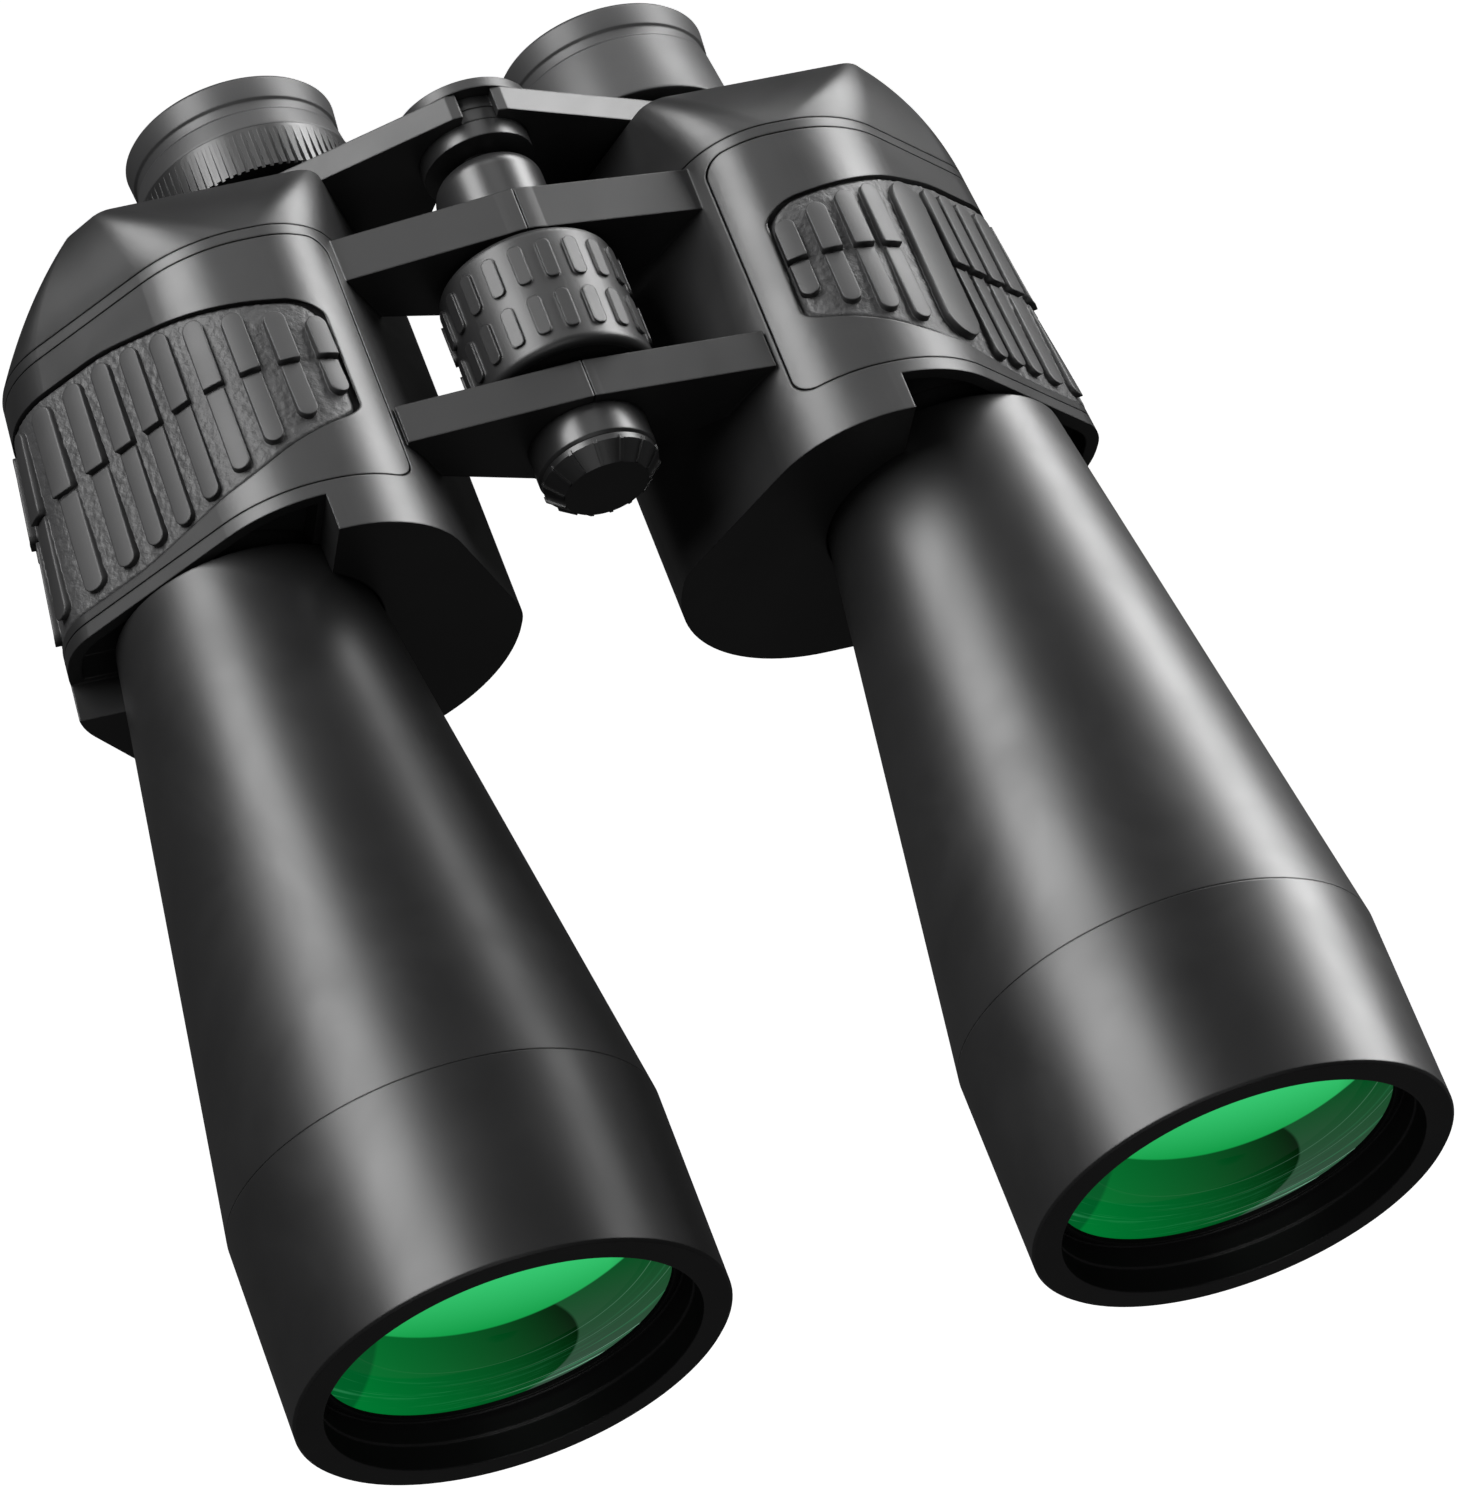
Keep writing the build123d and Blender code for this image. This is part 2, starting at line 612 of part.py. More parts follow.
def hinge_bush():
    """Rear hinge tube through the upper plate, domed behind it where the focus rod comes out."""
    front, rear = UPPER_PLATE
    shoulder = 4.0
    with BuildPart() as bush:
        with BuildSketch(axis_plane(HINGE)):
            with BuildLine():
                Polyline((SLEEVE_R, y_at(SLEEVE_END - shoulder)), (SLEEVE_R, y_at(rear + 0.1)),
                         (BUSH_R, y_at(rear + 0.1)), (BUSH_R, y_at(front - 1.2)),
                         (ROD_R + FIT, y_at(front - 1.2)), (ROD_R + FIT, y_at(SLEEVE_END)),
                         (SLEEVE_R - shoulder, y_at(SLEEVE_END)))
                RadiusArc((SLEEVE_R - shoulder, y_at(SLEEVE_END)),
                          (SLEEVE_R, y_at(SLEEVE_END - shoulder)), shoulder)
            make_face()
        revolve(axis=axis_line(HINGE))
    return bush


CAP_FACE = 161.4
CAP_REAR = COLLAR_FRONT - 0.2
CAP_R = 11.3
CAP_FACE_R = 8.2
CAP_RIBS = 14


def tripod_cap():
    """Screw cap over the tripod socket: a ribbed cone ending in a plain flat face."""
    with BuildPart() as cap:
        with BuildSketch(axis_plane(HINGE)):
            with BuildLine():
                Polyline((0, y_at(CAP_FACE)), (CAP_FACE_R, y_at(CAP_FACE)),
                         (CAP_R, y_at(CAP_FACE + 3.4)), (CAP_R, y_at(CAP_REAR)),
                         (CAP_SPIGOT_R + FIT, y_at(CAP_REAR)),
                         (CAP_SPIGOT_R + FIT, y_at(SOCKET_STATION - 0.3)),
                         (0, y_at(SOCKET_STATION - 0.3)), close=True)
            make_face()
        revolve(axis=axis_line(HINGE))
        with BuildSketch(axis_plane(HINGE)) as rib:
            with BuildLine():
                Polyline((CAP_FACE_R - 0.2, y_at(CAP_FACE + 0.4)), (CAP_FACE_R + 0.4, y_at(CAP_FACE)),
                         (CAP_R + 0.3, y_at(CAP_FACE + 3.0)), (CAP_R + 0.3, y_at(CAP_REAR - 0.6)),
                         (CAP_R - 0.5, y_at(CAP_REAR - 0.6)), (CAP_R - 0.5, y_at(CAP_FACE + 3.6)),
                         close=True)
            make_face()
        blade = extrude(rib.sketch, amount=0.35, both=True, mode=Mode.PRIVATE)
        for i in range(CAP_RIBS):
            add(blade.rotate(Axis.Y, i * 360 / CAP_RIBS))
    return cap


# ---- focus wheel and rod -----------------------------------------------------
CORE_R = 15.0
PAD_L = 8.6
PAD_W = 2.7
PAD_ROWS = (191.0, 202.6)


def wheel_core():
    outline = [(PIN_R + FIT, WHEEL_FROM + 0.4), (CORE_R, WHEEL_FROM + 0.4), (CORE_R, WHEEL_TO - 0.4),
               (ROD_R + FIT, WHEEL_TO - 0.4), (ROD_R + FIT, STUB_END + 1.2), (PIN_R + FIT, STUB_END + 0.8)]
    return turned(HINGE, LEFT, outline)


def wheel_grip():
    """Rubber sleeve of the focus wheel with two rows of raised pads."""
    with BuildPart() as sleeve:
        with BuildSketch(cross(WHEEL_TO)):
            Circle(WHEEL_R)
            Circle(CORE_R + FIT, mode=Mode.SUBTRACT)
        extrude(amount=WHEEL_TO - WHEEL_FROM)
        fillet(sleeve.edges().filter_by(GeomType.CIRCLE).sort_by(SortBy.RADIUS)[-2:], 1.6)
        for i in range(PAD_COLUMNS):
            turn = math.radians(i * 360 / PAD_COLUMNS)
            facing = Plane(origin=(0, 0, 0), x_dir=(0, 1, 0), z_dir=(math.cos(turn), 0, math.sin(turn)))
            with BuildSketch(facing.offset(WHEEL_R - 1.0)):
                for row in PAD_ROWS:
                    with Locations((y_at(row), 0)):
                        RectangleRounded(PAD_L, PAD_W, 1.1)
            extrude(amount=1.0 + PAD_PROUD)
    return sleeve


BRIDGE_DISC_R = 13.6
BRIDGE_BORE = 5.2


def focus_rod():
    """Focus screw, with the collar and spigot that carry the eyepiece bridge."""
    outline = [(0, 192.0), (ROD_R - 0.6, 192.0), (ROD_R, 192.6), (ROD_R, 237.4), (10.9, 237.4),
               (10.9, ARM_FROM - 0.1), (5.0, ARM_FROM - 0.1), (5.0, ARM_TO + 0.05), (0, ARM_TO + 0.05)]
    return turned(HINGE, LEFT, outline)


def bridge_cap():
    """Flanged disc over the lapped hub of the eyepiece bridge."""
    outline = [(0, ARM_TO + 0.1), (BRIDGE_DISC_R, ARM_TO + 0.1), (BRIDGE_DISC_R, ARM_TO + 2.3),
               (BRIDGE_DISC_R - 1.2, ARM_TO + 3.0), (6.0, ARM_TO + 3.6), (0, ARM_TO + 3.6)]
    return turned(HINGE, LEFT, outline)


# ---- eyepieces ---------------------------------------------------------------
HEAD_FRONT = ARM_TO + 0.1
ARM_HEEL = (7.0, -20.5)         # lower inner corner of the arm's blade
ARM_FOLD_SLOPE = 0.2
LENS_FRONT = 217.0


def eyepiece_guide(side):
    """Bush in the back cover that the eyepiece tube slides in."""
    outline = [(SLIDE_R + FIT, 223.4), (GUIDE_R - 0.6, 223.4), (GUIDE_R - 0.6, BACK_FACE - COVER_WALL - 0.5),
               (GUIDE_R, BACK_FACE - COVER_WALL + 0.1), (GUIDE_R, BACK_FACE), (SLIDE_R + FIT, BACK_FACE)]
    return turned(EYEPIECE, side, outline)


def eyepiece_arm(side, thread_r):
    """Arm of the eyepiece bridge with its sliding tube and a threaded neck behind the ring."""
    ex, ez = side * EYEPIECE[0], EYEPIECE[1]
    reach = math.hypot(*EYEPIECE)
    lean = math.atan2(-EYEPIECE[1], EYEPIECE[0])
    spread = math.asin((RING_R - HUB_R) / reach)
    hub = (HUB_R * math.sin(lean - spread), HUB_R * math.cos(lean - spread))
    ring = (EYEPIECE[0] + RING_R * math.sin(lean - spread), EYEPIECE[1] + RING_R * math.cos(lean - spread))
    ring_low = (EYEPIECE[0] - RING_R * math.sin(lean + spread),
                EYEPIECE[1] - RING_R * math.cos(lean + spread))
    blade = lug(side, (ARM_FROM, ARM_TO), (hub, ring, EYEPIECE, ring_low, ARM_HEEL), BRIDGE_BORE,
                HUB_R - 0.6, 10.9, 3.5, ARM_FOLD_SLOPE)
    with BuildPart() as arm:
        add(blade.part)
        with BuildSketch(cross(ARM_TO)):
            with Locations((ex, ez)):
                Circle(RING_R)
        extrude(amount=ARM_TO - ARM_FROM)
        with BuildSketch(cross(ARM_TO + 7)):
            with Locations((ex, ez)):
                Circle(thread_r)
        extrude(amount=7)
        with BuildSketch(cross(ARM_TO + 7)):
            with Locations((ex, ez)):
                Circle(SLIDE_R)
        extrude(amount=ARM_TO + 7 - LENS_FRONT)
        with BuildSketch(cross(ARM_TO + 8)):
            with Locations((ex, ez)):
                Circle(SLIDE_R - 1.3)
        extrude(amount=ARM_TO + 8 - LENS_FRONT + 1, mode=Mode.SUBTRACT)
    return arm


NECK_R = 13.0
HEAD_REAR = 263.0


def left_eyepiece_head():
    """Fixed eyepiece shell, with a plain collar under the cup."""
    outline = [(NECK_R + FIT, HEAD_FRONT), (18.2, HEAD_FRONT), (18.2, HEAD_FRONT + 1.6),
               (EYE_SHELL_R, HEAD_FRONT + 1.6), (EYE_SHELL_R, HEAD_REAR), (11.4, HEAD_REAR),
               (11.4, HEAD_REAR - 0.8), (12.3 + FIT, HEAD_REAR - 1.0), (12.3 + FIT, 254.2),
               (NECK_R + FIT, 253.6)]
    return turned(EYEPIECE, LEFT, outline)


KNURL_FROM, KNURL_TO = 248.2, 258.0
KNURL_R = 22.2
KNURL_TOP_R = 21.5
KNURL_COUNT = 84


def dioptre_ring():
    """Knurled ring that turns on the right eyepiece to set the dioptre."""
    ex, ez = RIGHT * EYEPIECE[0], EYEPIECE[1]
    outline = [(EYE_SHELL_R + FIT, KNURL_FROM), (KNURL_R, KNURL_FROM), (KNURL_TOP_R, KNURL_TO),
               (EYE_SHELL_R + FIT, KNURL_TO)]
    with BuildPart() as ring:
        with BuildSketch(axis_plane(EYEPIECE, RIGHT)):
            with BuildLine():
                Polyline(*[(r, y_at(s)) for r, s in outline], close=True)
            make_face()
        revolve(axis=axis_line(EYEPIECE, RIGHT))
        with BuildSketch(cross(KNURL_TO + 1)):
            with Locations((ex, ez)):
                with PolarLocations(KNURL_R + 0.35, KNURL_COUNT):
                    Rectangle(2.0, 0.75)
        extrude(amount=KNURL_TO - KNURL_FROM + 2, mode=Mode.SUBTRACT)
    return ring


def dioptre_cell():
    """Lens cell that the dioptre ring screws in and out."""
    front = HEAD_FRONT + 1.65
    outline = [(NECK_R + FIT, front), (EYE_SHELL_R, front), (EYE_SHELL_R, HEAD_REAR), (11.4, HEAD_REAR),
               (11.4, HEAD_REAR - 0.8), (12.3 + FIT, HEAD_REAR - 1.0), (12.3 + FIT, 255.8),
               (NECK_R + FIT, 255.2)]
    return turned(EYEPIECE, RIGHT, outline)


def eyecup(side, base, base_r):
    """Soft rubber eyecup with a sunk band under its flared lip."""
    hug = EYE_SHELL_R + FIT
    outline = [(hug, base), (base_r, base), (base_r, base + 0.6), (20.6, 262.6), (20.1, 263.0),
               (20.1, 264.8), (20.6, 265.2), (20.95, 269.9), (20.3, 270.5), (19.4, 270.4), (15.2, 265.6),
               (14.6, 263.3), (hug, 263.2)]
    return turned(EYEPIECE, side, outline)


# ---- build and write every piece ---------------------------------------------
for side in (LEFT, RIGHT):
    write(housing(side), named(side, "prism_housing"))
    write(armour(side), named(side, "armour"))
    write(grip(side), named(side, "grip_panel"))
    write(back_cover(side), named(side, "back_cover"))
    write(screws(side, COVER_SCREWS, BACK_FACE - 0.6, 20.0), named(side, "cover_screws"))

    rear_seat = prism_frame(side, OBJECTIVE, MIDDLE, LEDGE + SHELF_T + 0.2, True)
    front_seat = prism_frame(side, MIDDLE, EYEPIECE, LEDGE - 0.1, False)
    write(prism(rear_seat), named(side, "rear_prism"))
    write(prism(front_seat), named(side, "front_prism"))
    write(shelf(side), named(side, "prism_shelf"))
    write(screws(side, SHELF_SCREWS, LEDGE + SHELF_T + 1.3, 7.0), named(side, "shelf_screws"))
    rear_clip, front_clip = clip(rear_seat), clip(front_seat)
    with BuildPart() as clips:
        add(rear_clip.part)
        add(front_clip.part)
    write(clips, named(side, "prism_clips"))

    write(hood(side), named(side, "objective_hood"))
    write(barrel(side), named(side, "objective_barrel"))
    write(lens(OBJECTIVE, side, LENS_R, LENS_EDGE, 4.0, 13.6, 5.2), named(side, "crown_lens"))
    write(lens(OBJECTIVE, side, LENS_R, 13.75, -5.2, 22.3, 0.3), named(side, "flint_lens"))
    write(retaining_ring(side), named(side, "lens_retainer"))
    write(baffle(side), named(side, "barrel_baffle"))

    write(eyepiece_guide(side), named(side, "eyepiece_guide"))
    write(eyepiece_arm(side, NECK_R), named(side, "eyepiece_arm"))
    write(lens(EYEPIECE, side, 8.15, 218.5, 0.2, 220.5, 2.2), named(side, "field_lens"))
    write(lens(EYEPIECE, side, 12.3, 257.0, 1.0, 261.6, 0.4), named(side, "eye_lens"))

write(left_eyepiece_head(), "left_eyepiece_head")
write(eyecup(LEFT, 248.3, 22.0), "left_eyecup")
write(dioptre_cell(), "dioptre_cell")
write(dioptre_ring(), "dioptre_ring")
write(eyecup(RIGHT, KNURL_TO + 0.1, KNURL_TOP_R - 0.3), "right_eyecup")

write(hinge_axle(), "hinge_axle")
write(hinge_bush(), "hinge_bush")
write(tripod_cap(), "tripod_cap")
write(wheel_core(), "focus_wheel_core")
write(wheel_grip(), "focus_wheel_grip")
write(focus_rod(), "focus_rod")
write(bridge_cap(), "bridge_cap")
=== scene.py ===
"""Looks of the large astronomy binoculars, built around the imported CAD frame. Metres, +Z up."""
import json
import math

import bmesh
import bpy
import numpy as np
from mathutils import Matrix, Vector, noise
from mathutils.bvhtree import BVHTree


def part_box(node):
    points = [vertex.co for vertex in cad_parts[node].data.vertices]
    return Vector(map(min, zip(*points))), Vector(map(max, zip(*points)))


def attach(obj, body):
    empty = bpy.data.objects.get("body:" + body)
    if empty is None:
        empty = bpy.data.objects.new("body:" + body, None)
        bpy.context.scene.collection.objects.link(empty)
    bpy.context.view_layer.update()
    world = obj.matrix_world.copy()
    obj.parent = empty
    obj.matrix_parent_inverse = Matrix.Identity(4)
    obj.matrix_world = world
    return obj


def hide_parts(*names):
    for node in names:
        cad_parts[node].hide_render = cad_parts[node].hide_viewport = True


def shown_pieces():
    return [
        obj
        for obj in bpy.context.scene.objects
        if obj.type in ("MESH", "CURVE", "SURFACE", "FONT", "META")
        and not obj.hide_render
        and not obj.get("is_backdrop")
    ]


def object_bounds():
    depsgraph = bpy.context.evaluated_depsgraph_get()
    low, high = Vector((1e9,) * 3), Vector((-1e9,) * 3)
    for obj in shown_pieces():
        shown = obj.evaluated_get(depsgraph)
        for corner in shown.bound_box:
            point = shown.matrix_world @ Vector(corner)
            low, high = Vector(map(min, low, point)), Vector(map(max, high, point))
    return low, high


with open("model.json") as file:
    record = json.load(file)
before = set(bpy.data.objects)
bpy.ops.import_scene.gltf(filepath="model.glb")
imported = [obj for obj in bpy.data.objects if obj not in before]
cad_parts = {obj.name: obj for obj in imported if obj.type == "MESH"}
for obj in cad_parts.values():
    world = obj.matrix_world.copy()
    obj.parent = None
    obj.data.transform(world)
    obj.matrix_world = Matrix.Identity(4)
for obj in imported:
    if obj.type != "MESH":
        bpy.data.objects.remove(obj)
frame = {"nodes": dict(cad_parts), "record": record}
CAD_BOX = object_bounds()
NODES = frame["nodes"]
MM = 0.001
SIDES = (("left", 1), ("right", -1))

# camera: where it stands round the object, and how it is rolled
CAMERA_AIM = (0.0041, -0.0625, 0.0)
CAMERA_AZIMUTH = -30.08
CAMERA_ELEVATION = 56.11
CAMERA_ROLL = 13.10
CAMERA_DISTANCE = 1.4664
CAMERA_LENS = 193.96
CAMERA_CLIP = (0.05, 50.0)

FLOOR_GLOW = 1.12               # the floor is a lit white sweep
AMBIENT = 0.05                  # strength of the even studio light
FLOOR_REACH = 6.0               # half the side of the floor
LENS_X, LENS_Z, LENS_R = 0.0694, -0.0188, 0.0344    # the objective lens, left side


# ---- materials ---------------------------------------------------------------
class Nodes:
    """Short way to write a node material."""

    def __init__(self, name):
        self.material = bpy.data.materials.new(name)
        self.material.use_nodes = True
        self.tree = self.material.node_tree
        self.bsdf = self.tree.nodes["Principled BSDF"]
        self.where = self.add("ShaderNodeTexCoord").outputs["Object"]

    def add(self, kind, inputs=None, **settings):
        node = self.tree.nodes.new(kind)
        for key, value in settings.items():
            setattr(node, key, value)
        for key, value in (inputs or {}).items():
            self.put(node, key, value)
        return node

    def put(self, node, key, value):
        if isinstance(value, bpy.types.NodeSocket):
            self.tree.links.new(value, node.inputs[key])
        else:
            node.inputs[key].default_value = value

    def noise(self, scale, detail=3.0, roughness=0.55, distortion=0.0, where=None):
        node = self.add("ShaderNodeTexNoise", {"Vector": where or self.where, "Scale": scale,
                        "Detail": detail, "Roughness": roughness, "Distortion": distortion})
        return node.outputs["Fac"]

    def fit(self, value, low, high, to_low=0.0, to_high=1.0):
        return self.add("ShaderNodeMapRange", {"Value": value, "From Min": low, "From Max": high,
                        "To Min": to_low, "To Max": to_high}, clamp=True).outputs["Result"]

    def math(self, operation, a, b=0.0):
        return self.add("ShaderNodeMath", {0: a, 1: b}, operation=operation).outputs["Value"]

    def mix(self, factor, a, b):
        node = self.add("ShaderNodeMix", data_type="RGBA")
        self.put(node, 0, factor)
        self.put(node, 6, a)
        self.put(node, 7, b)
        return node.outputs[2]

    def bump(self, height, distance, normal):
        inputs = {"Height": height, "Distance": distance, "Strength": 1.0, "Normal": normal}
        return self.add("ShaderNodeBump", inputs).outputs["Normal"]

    def rounded_normal(self, radius):
        return self.add("ShaderNodeBevel", {"Radius": radius}, samples=4).outputs["Normal"]

    def edge_mask(self, radius):
        """1 on sharp edges, 0 on open faces."""
        bevel = self.rounded_normal(radius)
        face = self.add("ShaderNodeNewGeometry").outputs["Normal"]
        dot = self.add("ShaderNodeVectorMath", {0: bevel, 1: face}, operation="DOT_PRODUCT")
        return self.fit(dot.outputs["Value"], 0.995, 0.80)

    def times(self, *factors):
        product = factors[0]
        for factor in factors[1:]:
            product = self.math("MULTIPLY", product, factor)
        return product


def grey(value):
    return (value, value, value * 1.02, 1.0)


def satin(name, tone, rough, grain, grain_scale=3000.0, edge=0.0003):
    """Black moulded or painted surface: mottled tone, smudges, fine grain, and lighter edges that
    are partly rubbing wear and partly a painted edge highlight.
    """
    m = Nodes(name)
    mottle = m.fit(m.noise(60.0, 4.0), 0.3, 0.7)
    colour = m.mix(mottle, grey(tone * 0.88), grey(tone * 1.14))
    worn_and_lit_edge = m.edge_mask(edge * 1.6)
    broken = m.fit(m.noise(900.0, 3.0), 0.45, 0.62)
    rub_and_highlight = m.times(worn_and_lit_edge, broken)
    # edges lightened in colour: partly rubbed wear, partly a painted highlight along the edges
    m.put(m.bsdf, "Base Color", m.mix(m.times(rub_and_highlight, 0.35), colour, grey(tone * 3.5)))
    smudge = m.fit(m.noise(28.0, 3.0, 0.6, 0.8), 0.35, 0.75, rough - 0.035, rough + 0.05)
    m.put(m.bsdf, "Roughness", m.math("SUBTRACT", smudge, m.times(rub_and_highlight, 0.08)))
    m.put(m.bsdf, "Normal", m.bump(m.noise(grain_scale, 2.0, 0.6), grain, m.rounded_normal(edge)))
    return m.material


# (distance from the streaks' centre, half width, strength) of the sharp glints
GLINTS = ((0.90, 0.005, 0.12), (1.08, 0.004, 0.15), (1.350, 0.005, 0.45), (1.440, 0.007, 0.95))


def objective_painted_reflections():
    """Green coated objective. Its reflections are drawn, not traced: a softbox and the cell.
    u and w run across and up the lens, from -1 to 1."""
    m = Nodes("objective_painted_reflections")
    place = m.add("ShaderNodeSeparateXYZ", {"Vector": m.where})
    x, z = place.outputs["X"], place.outputs["Z"]
    across = m.math("SUBTRACT", x, m.times(m.math("SIGN", x), LENS_X))
    u = m.math("DIVIDE", across, LENS_R)
    w = m.math("DIVIDE", m.math("SUBTRACT", z, LENS_Z), LENS_R)

    def reach(cu, cw):
        du, dw = m.math("SUBTRACT", u, cu), m.math("SUBTRACT", w, cw)
        return m.math("SQRT", m.math("ADD", m.times(du, du), m.times(dw, dw)))

    # the deep green field, brighter towards the lower left
    slope = m.math("ADD", m.times(u, -0.80), m.times(w, -0.30))
    field = m.mix(m.fit(slope, -0.30, 0.75), (0.0, 0.009, 0.001, 1), (0.0, 0.180, 0.030, 1))
    # outside the inner reflection the field is greyer
    outer = m.fit(reach(-0.42, -0.38), 0.870, 0.885)
    veil = m.mix(m.fit(w, -0.8, 0.4), (0.045, 0.085, 0.060, 1), (0.0, 0.085, 0.016, 1))
    field = m.mix(m.times(outer, 0.85), field, veil)
    # the softbox, a crescent along the upper edge
    crescent = m.fit(reach(-0.16, 1.29), 1.205, 1.190)
    glow = m.mix(m.fit(w, 0.05, 0.62), (0.001, 0.300, 0.050, 1), (0.040, 0.580, 0.170, 1))
    field = m.mix(m.times(crescent, m.fit(u, 0.95, 0.55)), field, glow)
    # shade of the cell at the left
    edge = m.math("SUBTRACT", u, m.times(w, w, -0.10))
    field = m.mix(m.times(m.fit(edge, -0.66, -0.68), 0.55), field, (0.0, 0.045, 0.012, 1))
    # fine concentric streaks: painted reflection of the machined cell behind the lens
    turned = m.add("ShaderNodeCombineXYZ", {"X": m.times(reach(-0.05, 0.55), 26.0),
                                            "Y": m.times(u, 0.7)}).outputs["Vector"]
    rings = m.fit(m.noise(1.0, 4.0, 0.8, 0.0, turned), 0.54, 0.72)
    low = m.fit(reach(-0.05, 0.55), 0.85, 1.50)
    field = m.mix(m.times(rings, low, 0.60), field, (0.060, 0.420, 0.180, 1))
    for middle, width, part in GLINTS:
        off = m.math("ABSOLUTE", m.math("SUBTRACT", reach(-0.05, 0.55), middle))
        side = m.fit(m.math("ADD", u, w), -0.9, 0.3)
        line = m.times(m.fit(off, width, width * 0.2), side)
        field = m.mix(m.times(line, part), field, (0.42, 0.85, 0.60, 1))
    # the black edge under the ring
    field = m.mix(m.fit(reach(0.0, 0.0), 0.955, 0.985), field, (0.0, 0.006, 0.002, 1))
    m.put(m.bsdf, "Base Color", m.mix(0.85, field, (0, 0, 0, 1)))
    # the drawn picture glows for camera rays only: its reflections and shade are painted light, not
    # lit by the lamps
    m.put(m.bsdf, "Emission Color", field)
    seen = m.add("ShaderNodeLightPath").outputs["Is Camera Ray"]
    m.put(m.bsdf, "Emission Strength", seen)
    m.put(m.bsdf, "Roughness", m.fit(m.noise(40.0), 0.3, 0.7, 0.03, 0.06))
    m.put(m.bsdf, "Specular Tint", (0.15, 1.0, 0.4, 1))
    m.put(m.bsdf, "Specular IOR Level", 0.2)
    return m.material


def tinted_glass(name, deep, sheen):
    """Small coated lens or prism: dark inside, with a coloured reflection."""
    m = Nodes(name)
    facing = m.add("ShaderNodeLayerWeight", {"Blend": 0.35}).outputs["Facing"]
    clouds = m.fit(m.noise(70.0), 0.3, 0.7, 0.75, 1.0)
    m.put(m.bsdf, "Base Color", m.mix(m.times(facing, clouds), deep, sheen))
    m.put(m.bsdf, "Roughness", m.fit(m.noise(300.0), 0.4, 0.7, 0.03, 0.07))
    m.put(m.bsdf, "Coat Weight", 1.0)
    m.put(m.bsdf, "Specular Tint", sheen)
    return m.material


def bare_metal(name, colour, rough):
    """Turned or rolled metal with fine tool marks."""
    m = Nodes(name)
    marks = m.noise(2500.0, 2.0, 0.7)
    m.put(m.bsdf, "Base Color", m.mix(m.fit(m.noise(200.0), 0.3, 0.7), colour,
                                      tuple(c * 0.7 for c in colour[:3]) + (1,)))
    m.put(m.bsdf, "Metallic", 1.0)
    m.put(m.bsdf, "Roughness", m.fit(marks, 0.3, 0.7, rough - 0.05, rough + 0.08))
    m.put(m.bsdf, "Normal", m.bump(marks, 0.00001, m.rounded_normal(0.0002)))
    return m.material


MATERIALS = {
    "body_paint": satin("body_paint", 0.009, 0.40, 0.000006, 4000.0, edge=0.00045),
    "arm_paint": satin("arm_paint", 0.010, 0.44, 0.000010, edge=0.0005),
    "armour_rubber": satin("armour_rubber", 0.009, 0.38, 0.000010, 4000.0, edge=0.0004),
    "grip_rubber": satin("grip_rubber", 0.016, 0.50, 0.000012, 3500.0, edge=0.00035),
    "grip_pebble": satin("grip_pebble", 0.024, 0.52, 0.000160, 1300.0, edge=0.0001),
    "wheel_rubber": satin("wheel_rubber", 0.011, 0.40, 0.000010, edge=0.0005),
    "cup_rubber": satin("cup_rubber", 0.020, 0.48, 0.000014, edge=0.0004),
    "ring_plastic": satin("ring_plastic", 0.009, 0.36, 0.000008, edge=0.00010),
    "satin_metal": satin("satin_metal", 0.012, 0.34, 0.000004, edge=0.0004),
    "inner_black": satin("inner_black", 0.004, 0.50, 0.000008, edge=0.0003),
    "screw_steel": bare_metal("screw_steel", (0.10, 0.10, 0.105, 1), 0.32),
    "spring_steel": bare_metal("spring_steel", (0.55, 0.55, 0.57, 1), 0.25),
    "brass_bush": bare_metal("brass_bush", (0.75, 0.55, 0.25, 1), 0.28),
    "prism_glass": tinted_glass("prism_glass", (0.25, 0.29, 0.30, 1), (0.8, 0.9, 0.95, 1)),
    "coated_glass": objective_painted_reflections(),
    "eye_glass": tinted_glass("eye_glass", (0.010, 0.006, 0.020, 1), (0.35, 0.20, 0.65, 1)),
}


def finish_cad_nodes():
    """Each CAD node gets the material of its slot."""
    for row in frame["record"]["subparts"]:
        piece = NODES[row["node"]]
        piece.data.materials.clear()
        piece.data.materials.append(MATERIALS[row["material_slot"]])


# ---- rubber grip panels -------------------------------------------------------
# The panels follow the floor of the armour's pocket, which is found by casting rays
# at the housing from outside. Numbers in this part are millimetres; the station is
# measured along Y from the hood rims.
SOCKET_STATION = 163.4
POCKET_DEPTH = 1.6              # from the armour's face down to the pocket's floor
PANEL_SINK = 0.5
RIB_AXIS = (56.0, -22.0)
RIB_W = 4.0
RIB_BREAK, RIB_GAP = 191.5, 0.7
RIB_ANGLES = {
    "right": (104.5, 93.5, 82.5, 71.5, 60.5, 49.5, 38.5, 27.5, 16.5, 5.5, -5.5, -16.5, -27.5),
    "left": (104.5, 94.5, 85.0, 76.0, 44.5, 35.5, 26.5, 17.5, 8.5, -0.5, -9.5, -18.5, -27.5),
}
PLATE_RIB = (60.0, 9.6)         # angle and width of the left panel's wide rib
GRIP_OUTLINE = ((47.2, 178.8, 4), (47.2, 205.0, 5), (9.0, 213.5, 40), (-33.0, 213.5, 9),
                (-33.0, 166.9, 9), (4.0, 166.9, 60), (31.0, 170.8, 30))
GRIP_TILT = math.radians(45)    # the outline lies in a plane tilted by this, through GRIP_CENTRE
GRIP_CENTRE = (75.0, -20.0)
RAY_START = 0.09                # how far out the rays at the housing start, in metres
SHEET_STATIONS = (165.6, 214.8)
SHEET_ANGLES = (113.0, -47.0)
